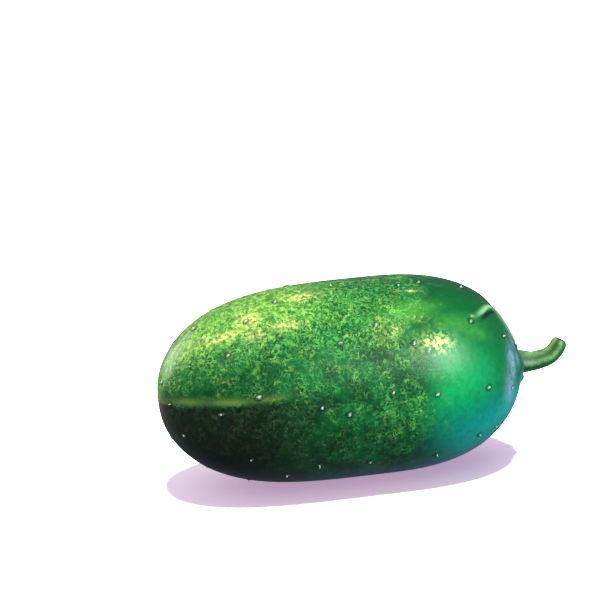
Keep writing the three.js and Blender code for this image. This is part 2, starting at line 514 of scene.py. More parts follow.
class SharedGroups:
    """The effects that more than one material uses, each built once."""

    def __init__(self) -> None:
        """Builds the groups."""
        self.grain = self._grain()

    @staticmethod
    def _open(
        name: str, inputs: dict[str, str], outputs: dict[str, str]
    ) -> tuple[bpy.types.NodeTree, Graph]:
        """Starts a group with its named sockets.

        Args:
            name: The group's name.
            inputs: The type of each input, by its label.
            outputs: The type of each output, by its label.

        Returns:
            The group's node tree, and a graph to fill it with.
        """
        tree = bpy.data.node_groups.new(name, "ShaderNodeTree")
        for side, sockets in (("INPUT", inputs), ("OUTPUT", outputs)):
            for label, kind in sockets.items():
                tree.interface.new_socket(label, in_out=side, socket_type=kind)
        return tree, Graph(tree)

    def _grain(self) -> bpy.types.NodeTree:
        """Builds the fine grain of living tissue: soft clouds with small cells among them.

        Returns:
            The group, which puts out a height from 0 to 1.
        """
        tree, graph = self._open(
            "plant_grain",
            {"Vector": "NodeSocketVector", "Cells per mm": "NodeSocketFloat"},
            {"Height": "NodeSocketFloat"},
        )
        source = graph.node("NodeGroupInput")
        scale = graph.math("DIVIDE", source.outputs["Cells per mm"], MM)
        inputs = {"Vector": source.outputs["Vector"], "Scale": scale, "Detail": 3.0, "Roughness": 0.6}
        cloudy = graph.node("ShaderNodeTexNoise", inputs).outputs[0]
        inputs = {"Vector": source.outputs["Vector"], "Scale": graph.math("MULTIPLY", scale, 1.7)}
        cells = graph.node("ShaderNodeTexVoronoi", inputs).outputs["Distance"]
        height = graph.math("MULTIPLY_ADD", cells, 0.5, graph.math("MULTIPLY", cloudy, 0.5))
        graph.node("NodeGroupOutput", {"Height": height})
        return tree


def new_material(name: str) -> tuple[bpy.types.Material, Graph, bpy.types.Node]:
    """Starts a material with one Principled shader.

    Args:
        name: The material's name.

    Returns:
        The material, its graph and the shader node.
    """
    material = bpy.data.materials.new(name)
    material.use_nodes = True
    material.node_tree.nodes.clear()
    graph = Graph(material.node_tree)
    shader = graph.node("ShaderNodeBsdfPrincipled")
    graph.node("ShaderNodeOutputMaterial", {"Surface": shader.outputs[0]})
    return material, graph, shader


# ---------------------------------------------------------------------------------------------
# Finishes
# ---------------------------------------------------------------------------------------------


@dataclass(frozen=True)
class SkinFinish:
    """Waxy skin: smooth and deep green at the stem, mottled and striped towards the blossom."""

    deep: tuple = rgb(0, 54, 25)
    leaf: tuple = rgb(0, 86, 40)
    lime: tuple = rgb(54, 132, 50)
    fleck: tuple = rgb(74, 150, 70)
    pale_fleck: tuple = rgb(144, 188, 88)
    gold: tuple = rgb(236, 228, 138)
    shoulder: tuple = rgb(0, 76, 34)
    # Emerald: the shoulder's own brighter green, partly a painted highlight where the light falls on the
    # front.
    emerald: tuple = rgb(8, 146, 78)
    # Teal: partly the skin's own blue-green, partly a painted reflection of blue light.
    teal: tuple = rgb(8, 136, 126)
    # Navy: a painted reflection of blue-violet light on the underside.
    navy: tuple = rgb(62, 104, 144)
    smear: tuple = rgb(60, 128, 48)
    stripe: tuple = rgb(96, 118, 56)
    # Painted shade, for the dusk patches.
    dusk: tuple = rgb(2, 34, 20)
    smoke: tuple = rgb(146, 148, 176)
    # Near black: partly the skin's own dark band below the front stripe, partly painted shade.
    gloom: tuple = rgb(13, 16, 10)
    gloom_fleck: tuple = rgb(48, 56, 40)
    lip: tuple = rgb(124, 162, 112)
    scar: tuple = rgb(126, 112, 78)
    # Painted shade: the near black of the fold's groove and of the rings round the warts.
    groove: tuple = rgb(3, 30, 16)
    collar: tuple = rgb(84, 78, 108)
    tip: tuple = rgb(232, 236, 226)
    roughness: float = 0.33
    fleck_roughness: float = 0.45
    gloss: float = 0.2
    coat: float = 0.12
    coat_roughness: float = 0.28
    bloom: float = 0.03
    bloom_tint: tuple = (0.82, 0.86, 1.0, 1.0)
    grain_per_mm: float = 1.6
    bump: float = 0.35
    bump_depth: float = 0.12 * MM
    # How far the flecks stand up, against the grain.
    fleck_rise: float = 0.5
    # How thick the threads of flecks are, and how much thicker on the paler top.
    thread: float = 0.1
    pale_top_thread: float = 0.035
    # The marks that let the skin show through in streaks.
    streaked: tuple[str, ...] = ("smoke", "collar")

    def build(self, groups: SharedGroups) -> bpy.types.Material:
        """Makes the material.

        Args:
            groups: The shared node groups.

        Returns:
            The material.
        """
        material, graph, shader = new_material("gherkin_skin")
        where = graph.node("ShaderNodeTexCoord").outputs["Object"]
        threads = self._threads(graph, where)
        dressed = self._marks(graph, where, self._ground(graph, where, threads))
        graph.feed(shader.inputs["Base Color"], dressed)
        rough = graph.ramp(threads, 0.0, 1.0, self.roughness, self.fleck_roughness)
        graph.feed(shader.inputs["Roughness"], rough)
        shader.inputs["Specular IOR Level"].default_value = self.gloss
        shader.inputs["Sheen Weight"].default_value = self.bloom
        shader.inputs["Sheen Tint"].default_value = self.bloom_tint
        shader.inputs["Coat Weight"].default_value = self.coat
        shader.inputs["Coat Roughness"].default_value = self.coat_roughness
        grain = graph.node("ShaderNodeGroup", node_tree=groups.grain)
        graph.feed(grain.inputs["Vector"], where)
        grain.inputs["Cells per mm"].default_value = self.grain_per_mm
        height = graph.math("MULTIPLY_ADD", threads, self.fleck_rise, grain.outputs["Height"])
        inputs = {"Strength": self.bump, "Distance": self.bump_depth, "Height": height}
        graph.feed(shader.inputs["Normal"], graph.node("ShaderNodeBump", inputs).outputs[0])
        return material

    def _ground(self, graph: Graph, where: Link, threads: Link) -> Socket:
        """The colour of the skin and its flecks, with some painted highlight, reflection and shade, before
        stripes and marks.

        Args:
            graph: The material's graph.
            where: The place on the fruit.
            threads: The net of flecks, from 0 to 1.

        Returns:
            The colour.
        """
        broad = graph.noise(where, per_mm=0.16, detail=3.0)
        ground = graph.mix(graph.ramp(broad, 0.38, 0.66), self.deep, self.leaf)
        cloud = graph.ramp(graph.noise(where, per_mm=0.5, detail=3.0, rough=0.6), 0.35, 0.65, start=0.4)
        pale_top = graph.math("MULTIPLY", graph.mask("pale_top"), cloud)
        ground = graph.mix(pale_top, ground, self.lime)
        # The glow brightens the smooth shoulder to emerald: partly the skin's own green, partly a painted
        # highlight.
        glow = graph.mix(graph.mask("glow"), self.shoulder, self.emerald)
        ground = graph.mix(graph.mask("smooth"), ground, glow)
        soft = graph.ramp(broad, 0.3, 0.6, start=0.55)
        ground = graph.mix(graph.math("MULTIPLY", graph.mask("smear"), soft), ground, self.smear)
        # Cool: teal, partly a painted reflection of blue light.
        ground = graph.mix(graph.mask("cool"), ground, self.teal)
        # Gloom: partly the skin's dark band, partly painted shade.
        ground = graph.mix(graph.mask("gloom"), ground, self.gloom)
        # Under: navy, a painted reflection of blue-violet light from below.
        ground = graph.mix(graph.mask("under"), ground, self.navy)
        dapple = graph.ramp(graph.noise(where, per_mm=0.7, detail=4.0, rough=0.65), 0.36, 0.68, end=0.3)
        ground = graph.mix(dapple, ground, self.deep)
        speckle = graph.ramp(graph.noise(where, per_mm=0.95, detail=2.0, rough=0.6, warp=0.5), 0.4, 0.64)
        patchy = graph.math("MULTIPLY", graph.mask("gold"), speckle)
        cluster = graph.ramp(graph.noise(where, per_mm=0.36, detail=3.0, rough=0.7), 0.5, 0.62, end=0.75)
        pale_share = graph.math("MAXIMUM", graph.mask("pale_top"), cluster)
        fleck = graph.mix(pale_share, self.fleck, self.pale_fleck)
        fleck = graph.mix(graph.mask("gold"), fleck, self.gold)
        # The flecks dim in the gloom too, partly as painted shade.
        fleck = graph.mix(graph.mask("gloom"), fleck, self.gloom_fleck)
        return graph.mix(graph.math("MAXIMUM", patchy, threads), ground, fleck)

    def _marks(self, graph: Graph, where: Link, colour: Link) -> Socket:
        """Lays the stripes, the fold, the collar and the warts over the skin's colour, with painted shade
        in the dusk patches, the groove and round the warts.

        Args:
            graph: The material's graph.
            where: The place on the fruit.
            colour: The colour of the skin and its flecks.

        Returns:
            The colour with every mark on it.
        """
        streaks = graph.ramp(graph.noise(where, per_mm=0.8, detail=3.0, rough=0.6), 0.32, 0.6, start=0.35)
        for name, mark in (
            ("stripe", self.stripe),
            ("dusk", self.dusk),
            ("smoke", self.smoke),
            ("collar", self.collar),
            ("groove", self.groove),
            ("lip", self.lip),
            ("scar", self.scar),
            # The rings round the warts are painted shade, in the groove's colour.
            ("wart_shade_ring", self.groove),
            ("wart_tip", self.tip),
        ):
            share = graph.mask(name)
            if name in self.streaked:
                share = graph.math("MULTIPLY", share, streaks)
            colour = graph.mix(share, colour, mark)
        return colour

    def _threads(self, graph: Graph, where: Link) -> Socket:
        """Makes the fine worm-like net of pale flecks, where the skin is mottled.

        A thread runs where curled noise is close to its middle value. The threads show in clumps and
        are broken up by finer grit.

        Args:
            graph: The material's graph.
            where: The place on the fruit.

        Returns:
            How much of a fleck there is, from 0 to 1.
        """
        worm = graph.noise(where, per_mm=0.98, detail=3.0, rough=0.58, warp=0.6)
        off_middle = graph.math("ABSOLUTE", graph.math("SUBTRACT", worm, 0.5))
        off_middle = graph.math("MULTIPLY_ADD", graph.mask("pale_top"), -self.pale_top_thread, off_middle)
        thread = graph.ramp(off_middle, self.thread, 0.0)
        clump = graph.noise(where, per_mm=0.3, detail=3.0, rough=0.66)
        crowd = graph.math("MULTIPLY_ADD", graph.mask("mottled"), 0.5, clump)
        shown = graph.ramp(crowd, 0.59, 1.07)
        grit = graph.ramp(graph.noise(where, per_mm=0.8, detail=3.0, rough=0.6), 0.36, 0.62, start=0.2)
        return graph.math("MULTIPLY", graph.math("MULTIPLY", thread, shown), grit)


@dataclass(frozen=True)
class RindFinish:
    """The stem's rind: matt light green, paler on the ridges, dark and dry at the cut."""

    furrow: tuple = rgb(36, 76, 28)
    ridge: tuple = rgb(108, 146, 88)
    cut: tuple = rgb(22, 38, 20)
    roughness: float = 0.5
    grain_per_mm: float = 2.4
    bump: float = 0.5
    bump_depth: float = 0.15 * MM

    def build(self, groups: SharedGroups) -> bpy.types.Material:
        """Makes the material.

        Args:
            groups: The shared node groups.

        Returns:
            The material.
        """
        material, graph, shader = new_material("stem_rind")
        where = graph.node("ShaderNodeTexCoord").outputs["Object"]
        blotch = graph.ramp(graph.noise(where, per_mm=0.9, detail=3.0, rough=0.6), 0.3, 0.65, start=0.3)
        colour = graph.mix(graph.math("MULTIPLY", graph.mask("ridge"), blotch), self.furrow, self.ridge)
        graph.feed(shader.inputs["Base Color"], graph.mix(graph.mask("cut"), colour, self.cut))
        shader.inputs["Roughness"].default_value = self.roughness
        grain = graph.node("ShaderNodeGroup", node_tree=groups.grain)
        graph.feed(grain.inputs["Vector"], where)
        grain.inputs["Cells per mm"].default_value = self.grain_per_mm
        inputs = {"Strength": self.bump, "Distance": self.bump_depth, "Height": grain.outputs["Height"]}
        graph.feed(shader.inputs["Normal"], graph.node("ShaderNodeBump", inputs).outputs[0])
        return material


@dataclass(frozen=True)
class SpineFinish:
    """The prickles: pale and dry, darker at the foot."""

    foot: tuple = rgb(168, 182, 150)
    point: tuple = rgb(232, 234, 224)
    roughness: float = 0.4
    grain_per_mm: float = 5.0

    def build(self, groups: SharedGroups) -> bpy.types.Material:
        """Makes the material.

        Args:
            groups: The shared node groups.

        Returns:
            The material.
        """
        material, graph, shader = new_material("prickle")
        where = graph.node("ShaderNodeTexCoord").outputs["Object"]
        grain = graph.node("ShaderNodeGroup", node_tree=groups.grain)
        graph.feed(grain.inputs["Vector"], where)
        grain.inputs["Cells per mm"].default_value = self.grain_per_mm
        worn = graph.ramp(grain.outputs["Height"], 0.1, 0.5, start=0.7)
        share = graph.math("MULTIPLY", graph.mask("height"), worn)
        graph.feed(shader.inputs["Base Color"], graph.mix(share, self.foot, self.point))
        shader.inputs["Roughness"].default_value = self.roughness
        return material


# ---------------------------------------------------------------------------------------------
# Pieces
# ---------------------------------------------------------------------------------------------


@dataclass
class Piece:
    """A named mesh with the masks that its finish reads."""

    name: str
    slot: Slot
    replaced: str | None = None

    def publish(
        self,
        points: np.ndarray,
        faces: list[tuple[int, ...]],
        masks: dict[str, np.ndarray],
        material: bpy.types.Material,
    ) -> bpy.types.Object:
        """Args:
            points: The vertices, in the frame.
            faces: The corners of each face.
            masks: One value for each vertex, by mask name.
            material: The finish.

        Returns:
            The object.
        """
        mesh = bpy.data.meshes.new(self.name)
        mesh.from_pydata(points.tolist(), [], faces)
        mesh.validate()
        for name, values in masks.items():
            layer = mesh.attributes.new(name, "FLOAT", "POINT")
            layer.data.foreach_set("value", values.astype(np.float32))
        mesh.polygons.foreach_set("use_smooth", [True] * len(mesh.polygons))
        mesh.materials.append(material)
        mesh.update()
        made = bpy.data.objects.new(self.name, mesh)
        bpy.context.scene.collection.objects.link(made)
        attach(made, Body.ROOT.value)
        if self.replaced:
            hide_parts(self.replaced)
        LOG.info("%s: %d vertices, %d faces", self.name, len(mesh.vertices), len(mesh.polygons))
        return made


@dataclass(frozen=True)
class Stripe:
    """One pale stripe that runs from the blossom end."""

    degrees: float
    strength: float
    reach: float
    width: float = 0.8 * MM


@dataclass(frozen=True)
class Patch:
    """A soft-edged oval patch of colour on the skin."""

    mask: str
    distance: float
    degrees: float
    long: float
    wide: float
    strength: float = 1.0

    def cover(self, distance: np.ndarray, around: np.ndarray, radius: float) -> np.ndarray:
        """How much of the patch lies at each point.

        Args:
            distance: How far along the skin from the blossom end, in metres.
            around: The angle from the front.
            radius: The fruit's radius, which turns the angle into a width.

        Returns:
            One share from 0 to 1 for each point.
        """
        onwards = (distance - self.distance * MM) / (self.long * MM)
        across = turn_gap(around, math.radians(self.degrees)) * radius / (self.wide * MM)
        return self.strength * np.exp(-(onwards**2) - across**2)


@dataclass
class Colouring:
    """Where each colour of the skin lies.

    Places along the skin are shares of its length from the blossom end, and places round it are
    degrees from the front, where 90 is on top.
    """

    skin: Skin
    # Where the mottling gives way to the smooth shoulder, and the waves of that edge round the fruit:
    # how high each is, how many there are and where the first starts.
    edge: float = 0.665
    edge_waves: tuple[tuple[float, float, float], ...] = ((0.02, 5.0, 1.0), (0.012, 9.0, 0.3))
    smooth_past_edge: Fade = Fade(-0.04, 0.07)
    mottled_past_edge: Fade = Fade(0.09, -0.08)
    # The smooth shoulder comes further forward at the front, by this share.
    tongue: float = 0.05
    tongue_middle: float = 4.0
    tongue_width: float = 20.0
    # The flecks are fewer on the front and fewer still underneath, but more again near the shoulder.
    fewer_at_front: Fade = Fade(46.0, 20.0, 0.36)
    fewer_below: Fade = Fade(-20.0, -40.0, 0.15)
    more_along: Fade = Fade(0.5, 0.62, 0.4)
    more_middle: float = -8.0
    more_width: float = 12.0
    # The colours of the underside, which are partly painted shade and painted reflections, fade out before
    # the back.
    off_the_back: Fade = Fade(-150.0, -110.0)
    # The cool part, low down towards the stem, is teal: partly the skin's own blue-green, partly a painted
    # reflection of blue light.
    cool_round: Fade = Fade(2.0, -32.0)
    cool_along: Fade = Fade(0.6, 0.75, 0.95)
    # The gloom, below the front stripe towards the blossom end, is partly the skin's dark band and partly
    # painted shade.
    gloom_round: Fade = Fade(9.0, 4.0)
    gloom_along: Fade = Fade(0.54, 0.26, 0.94)
    # The gloom reaches further along the fruit below this angle, by a share for each degree.
    gloom_slant_from: float = -30.0
    gloom_slant: float = 0.0025
    # The under part is navy: a painted reflection of blue-violet light from below.
    under_round: Fade = Fade(-42.0, -64.0)
    under_blossom: Fade = Fade(0.06, 0.25, 0.25)
    under_middle: Fade = Fade(0.35, 0.6, 0.55)
    # The skin is paler and more flecked on top, and a little on the upper front.
    off_the_far_side: Fade = Fade(178.0, 120.0)
    top_pale_round: Fade = Fade(38.0, 64.0, 0.85)
    top_pale_along: Fade = Fade(0.54, 0.34)
    front_pale_round: Fade = Fade(4.0, 36.0, 0.15)
    front_pale_along: Fade = Fade(0.75, 0.35)
    # How the stripes run: they sway from side to side, are narrower on their lower side, fade out over
    # their last part and break into dashes. They run together where the fruit's radius is under a limit.
    stripe_sway: float = 0.5 * MM
    stripe_sway_length: float = 7.0 * MM
    stripe_radius_limit: float = 4.0 * MM
    stripe_sides: tuple[float, float] = (0.7, 1.3)
    stripe_fades_from: float = 0.6
    stripe_breaks: float = 0.3
    stripe_break_length: float = 1.9 * MM
    stripes: tuple[Stripe, ...] = (
        Stripe(9.5, 0.95, 50.0 * MM),
        Stripe(88.0, 0.35, 34.0 * MM),
        Stripe(124.0, 0.6, 38.0 * MM),
        Stripe(163.0, 0.5, 30.0 * MM),
        Stripe(-154.0, 0.55, 36.0 * MM),
        Stripe(-120.0, 0.5, 30.0 * MM),
        Stripe(-84.0, 0.4, 36.0 * MM),
        Stripe(-50.0, 0.2, 44.0 * MM),
    )
    # Each patch: its mask, mm from the blossom end, degrees round, half length and half width in mm,
    # and its strength.
    patches: tuple[Patch, ...] = (
        Patch("gold", 16.0, 80.0, 4.0, 1.5, 0.5),
        Patch("gold", 22.5, 62.0, 4.0, 1.5, 0.6),
        Patch("gold", 28.5, 56.0, 4.5, 1.6, 1.0),
        Patch("gold", 36.5, 50.0, 3.0, 2.0, 0.65),
        Patch("gold", 35.5, 63.0, 3.0, 3.4, 0.85),
        Patch("gold", 44.0, 52.0, 4.5, 1.6, 0.7),
        Patch("gold", 50.0, 74.0, 4.0, 2.2, 0.85),
        Patch("gold", 78.0, 68.0, 2.2, 0.6, 1.0),
        Patch("gold", 70.5, 40.0, 5.0, 3.4, 0.4),
        Patch("gold", 80.0, 46.0, 3.5, 1.6, 0.25),
        # This gold patch lies where the shoulder's highlight falls: its pale flecks are partly a painted
        # highlight.
        Patch("gold", 82.0, 30.5, 5.0, 3.2, 1.0),
        Patch("gold", 93.6, 50.0, 1.0, 0.6, 0.6),
        Patch("gold", 30.0, 128.0, 6.0, 2.2, 0.8),
        Patch("gold", 41.0, 160.0, 4.0, 3.0, 0.7),
        Patch("gold", 24.0, -130.0, 5.0, 2.2, 0.6),
        Patch("gold", 82.0, 150.0, 4.0, 2.6, 0.6),
        Patch("smear", 76.0, 52.0, 9.0, 4.0, 0.95),
        Patch("smear", 88.0, 44.0, 7.0, 3.2, 0.85),
        Patch("smear", 94.0, 38.0, 4.0, 2.2, 0.8),
        # The first dusk patch is painted shade on top of the shoulder beside the fold; the second darkens a
        # streak on the front near the blossom end.
        Patch("dusk", 99.0, 96.0, 13.0, 11.0, 0.75),
        Patch("dusk", 22.0, 20.0, 16.0, 4.5, 0.4),
        Patch("smoke", 106.6, 14.0, 2.4, 9.0, 0.8),
        Patch("smoke", 104.6, -9.0, 2.4, 7.0, 0.7),
        Patch("smoke", 111.0, 20.0, 2.6, 6.0, 0.5),
        Patch("smoke", 110.0, 46.0, 2.2, 6.0, 0.85),
        # The glow patches brighten the smooth shoulder to emerald: the front one is partly a painted
        # highlight where the light falls, and the two round the back are weaker copies.
        Patch("glow", 84.5, 5.0, 13.5, 12.5, 1.0),
        Patch("glow", 84.0, 150.0, 12.0, 12.0, 0.7),
        Patch("glow", 84.0, -110.0, 12.0, 12.0, 0.7),
    )

    def masks(self, distance: np.ndarray, around: np.ndarray) -> dict[str, np.ndarray]:
        """Lays out the broad zones of colour, the stripes and the patches.

        Args:
            distance: How far along the skin from the blossom end, in metres.
            around: The angle from the front.

        Returns:
            One share from 0 to 1 for each point, by mask name.
        """
        share = distance / self.skin.length
        degrees = np.degrees(turn_gap(around, 0.0))
        past_edge = share - self.edge
        for height, count, start in self.edge_waves:
            past_edge = past_edge - height * np.sin(count * around + start)
        tongue = self.tongue * bell(degrees - self.tongue_middle, self.tongue_width)
        low = self.off_the_back.at(degrees)
        slanted = share - self.gloom_slant * np.minimum(0.0, degrees - self.gloom_slant_from)
        pale_top = self.top_pale_round.at(degrees) * self.top_pale_along.at(share)
        pale_top = pale_top + self.front_pale_round.at(degrees) * self.front_pale_along.at(share)
        under = self.under_blossom.at(share) + self.under_middle.at(share)
        masks = {
            "smooth": self.smooth_past_edge.at(past_edge + tongue),
            "mottled": self.mottled_past_edge.at(past_edge) * self._crowding(share, degrees),
            "cool": self.cool_round.at(degrees) * self.cool_along.at(share) * low,
            "pale_top": pale_top * self.off_the_far_side.at(degrees),
            "gloom": self.gloom_round.at(degrees) * self.gloom_along.at(slanted) * low,
            "under": self.under_round.at(degrees) * under * low,
            "stripe": self._stripes(distance, around),
        }
        radius = self.skin.meridian.radius
        for patch in self.patches:
            cover = patch.cover(distance, around, radius)
            masks[patch.mask] = np.maximum(masks.get(patch.mask, 0.0), cover)
        return masks

    def _crowding(self, share: np.ndarray, degrees: np.ndarray) -> np.ndarray:
        """How crowded the flecks are on the mottled part.

        Args:
            share: The place along the skin.
            degrees: The place round it.

        Returns:
            1 where they are as crowded as on top, and less where they are fewer.
        """
        crowding = 1.0 - self.fewer_at_front.at(degrees) - self.fewer_below.at(degrees)
        more = bell(degrees - self.more_middle, self.more_width)
        return crowding + self.more_along.at(share) * more

    def _stripes(self, distance: np.ndarray, around: np.ndarray) -> np.ndarray:
        """Draws the pale stripes: sharper on their lower side, and broken along their length.

        Args:
            distance: How far along the skin from the blossom end, in metres.
            around: The angle from the front.

        Returns:
            One share from 0 to 1 for each point.
        """
        covered = np.zeros(len(distance))
        radius = np.maximum(self.skin.outline(distance)[0], self.stripe_radius_limit)
        for number, stripe in enumerate(self.stripes):
            across = turn_gap(around, math.radians(stripe.degrees)) * radius
            across = across - self.stripe_sway * np.sin(distance / self.stripe_sway_length + number)
            width = np.where(across < 0.0, *self.stripe_sides) * stripe.width
            fade = smooth(stripe.reach, self.stripe_fades_from * stripe.reach, distance)
            wave = np.sin(distance / self.stripe_break_length + 2.0 * number)
            breaks = 1.0 - self.stripe_breaks * (1.0 - wave)
            covered = np.maximum(covered, stripe.strength * bell(across, width) * fade * breaks)
        return covered


@dataclass
class Fruit:
    """The fruit: one closed skin with its warts, fold, collar and blossom scar."""

    skin: Skin
    warts: Warts
    fold: Fold
    colouring: Colouring
    rings: int = 250
    sides: int = 360
    ring_crowding: float = 0.55
    wart_radius: float = 0.78 * MM
    wart_height: float = 0.3 * MM
    # The least wart's size and how much larger others can be, as shares of the sizes above.
    wart_sizes: tuple[float, float] = (0.75, 0.4)
    wart_size_draw: float = 3.0
    # Past this many of its radii, a wart changes nothing.
    wart_reach: float = 2.6
    collar_place: float = 4.6 * MM
    collar_width: float = 1.2 * MM
    collar_height: float = 0.8 * MM
    # The lumps of the collar: how high each is, how many there are and where the first starts.
    collar_lumps: tuple[tuple[float, float, float], ...] = ((0.25, 5.0, 0.6), (0.06, 9.0, 2.0))
    collar_paint: Fade = Fade(6.2 * MM, 5.2 * MM, 0.85)
    collar_paint_sway: float = 0.5 * MM
    # The hollow under the stem's foot.
    socket: Fade = Fade(3.0 * MM, 2.2 * MM, 1.2 * MM)
    scar: Fade = Fade(1.6 * MM, 0.64 * MM, 0.5 * MM)
    scar_paint: Fade = Fade(1.92 * MM, 1.12 * MM, 0.8)
    dimple_radius: float = 4.0 * MM
    dimple_depth: float = 0.7 * MM

    def build(self, finish: SkinFinish, groups: SharedGroups) -> bpy.types.Object:
        """Makes the fruit.

        Args:
            finish: The skin's finish.
            groups: The shared node groups.

        Returns:
            The object.
        """
        distance, around = self._grid()
        base = self.skin.points(distance, around)
        normals = self.skin.normals(distance, around)
        masks: dict[str, np.ndarray] = {}
        height = self._swell_warts(base, masks) + self._swell_ends(distance, around, masks)
        lift, lean = self._raise_fold(base, normals, masks)
        points = base + (height + lift)[:, None] * normals + lean
        points[:, 2] = np.maximum(points[:, 2], 0.0)
        masks |= self.colouring.masks(distance, around)
        faces, flat = self._faces()
        piece = Piece("gherkin_skin", Slot.SKIN, "fruit")
        made = piece.publish(points, faces, masks, finish.build(groups))
        made.data.uv_layers.new(name="OFBake").data.foreach_set("uv", flat.ravel())
        return made

    def _grid(self) -> tuple[np.ndarray, np.ndarray]:
        """Lays out the vertices: one at each pole, and rings between, closer near the stem.

        Returns:
            How far along the skin each vertex is, and its angle from the front.
        """
        share = np.linspace(0.0, 1.0, self.rings + 2)[1:-1]
        share = share + self.ring_crowding * share * (1.0 - share) ** 2
        ring = np.repeat(share * self.skin.length, self.sides)
        side = np.tile(np.arange(self.sides) * FULL_TURN / self.sides, self.rings)
        distance = np.concatenate([[0.0], ring, [self.skin.length]])
        return distance, np.concatenate([[0.0], side, [0.0]])

    def _faces(self) -> tuple[list[tuple[int, ...]], np.ndarray]:
        """Joins the vertices: quads between rings, and a fan of triangles at each pole.

        Returns:
            The faces, and where each of their corners lies when the skin is laid out flat: along
            the fruit one way and round it the other.
        """
        sides = self.sides
        top = 1 + (self.rings - 1) * sides
        last = top + sides
        faces: list[tuple[int, ...]] = []
        corners: list[tuple[float, float]] = []
        for side in range(sides):
            onward = (side + 1) % sides
            faces.append((0, 1 + side, 1 + onward))
            corners += [(0, side + 0.5), (1, side), (1, side + 1)]
            faces.append((top + onward, top + side, last))
            corners += [(self.rings, side + 1), (self.rings, side), (self.rings + 1, side + 0.5)]
            for ring in range(1, self.rings):
                low = 1 + (ring - 1) * sides
                faces.append((low + side, low + sides + side, low + sides + onward, low + onward))
                corners += [(ring, side), (ring + 1, side), (ring + 1, side + 1), (ring, side + 1)]
        return faces, (np.array(corners) / (self.rings + 1.0, sides)).astype(np.float32)

    def _swell_warts(self, base: np.ndarray, masks: dict[str, np.ndarray]) -> np.ndarray:
        """Raises each wart and marks its pale tip and a ring of painted shade round it.

        Args:
            base: The vertices of the smooth skin.
            masks: The masks, to which the tips and the rings of painted shade are added.

        Returns:
            How far each vertex rises, in metres.
        """
        height = np.zeros(len(base))
        tip = np.zeros(len(base))
        ring = np.zeros(len(base))
        least, spread = self.wart_sizes
        sites = self.warts.sites(self.skin)
        for number, centre in enumerate(self.skin.points(sites[:, 0], sites[:, 1])):
            size = least + spread * scatter(number, self.wart_size_draw)
            away = np.linalg.norm(base - centre, axis=1) / (self.wart_radius * size)
            near = away < self.wart_reach
            # What follows is in shares of the wart's own height and radius.
            radii = away[near]
            dome = 0.75 * bell(radii, 0.75)
            nipple = 0.25 * bell(radii, 0.32)
            moat = 0.1 * bell(radii - 1.5, 0.5)
            height[near] += self.wart_height * size * (dome + nipple - moat)
            tip[near] = np.maximum(tip[near], 0.7 * smooth(0.48, 0.25, radii))
            # A ring of painted shade round the wart.
            ring[near] = np.maximum(ring[near], 0.85 * bell(radii - 0.85, 0.38))
        masks["wart_tip"] = tip
        masks["wart_shade_ring"] = ring
        return height

    def _swell_ends(
        self, distance: np.ndarray, around: np.ndarray, masks: dict[str, np.ndarray]
    ) -> np.ndarray:
        """Raises the collar round the stem, and makes the dimple and scar at the blossom end.

        Args:
            distance: How far along the skin from the blossom end, in metres.
            around: The angle from the front.
            masks: The masks, to which the collar and the scar are added.

        Returns:
            How far each vertex rises, in metres.
        """
        from_stem = self.skin.length - distance
        lumps = sum(height * np.sin(count * around + start) for height, count, start in self.collar_lumps)
        band = bell(from_stem - self.collar_place, self.collar_width)
        masks["collar"] = self.collar_paint.at(from_stem + self.collar_paint_sway * lumps)
        masks["scar"] = self.scar_paint.at(distance)
        collar = self.collar_height * (1.0 + lumps) * band - self.socket.at(from_stem)
        return collar + self.scar.at(distance) - self.dimple_depth * bell(distance, self.dimple_radius)

    def _raise_fold(
        self, base: np.ndarray, normals: np.ndarray, masks: dict[str, np.ndarray]
    ) -> tuple[np.ndarray, np.ndarray]:
        """Raises the fold's lip, cuts its groove and leans the lip over the groove.

        Args:
            base: The vertices of the smooth skin.
            normals: Its outward normals there.
            masks: The masks, to which the lip and the groove's painted shade are added.

        Returns:
            How far each vertex rises, in metres, and how it moves to the side.
        """
        fold = self.fold
        signed, travel, across = fold.survey(self.skin, base, normals)
        taper = fold.taper.at(travel)
        lip = bell(signed, fold.lip_width) * taper
        groove = bell(signed - fold.groove_offset, fold.groove_width) * taper
        painted = bell(signed + fold.lip_paint_shift, fold.lip_paint_width * fold.lip_width) * taper
        masks["lip"] = np.clip(fold.lip_paint * painted, 0.0, 1.0)
        # The groove's dark colour is painted shade.
        masks["groove"] = np.clip(fold.groove_paint * groove, 0.0, 1.0)
        lift = fold.lip_height * lip * (1.0 - fold.sinking * travel) - fold.groove_depth * groove
        return lift, (fold.overhang * lip)[:, None] * across


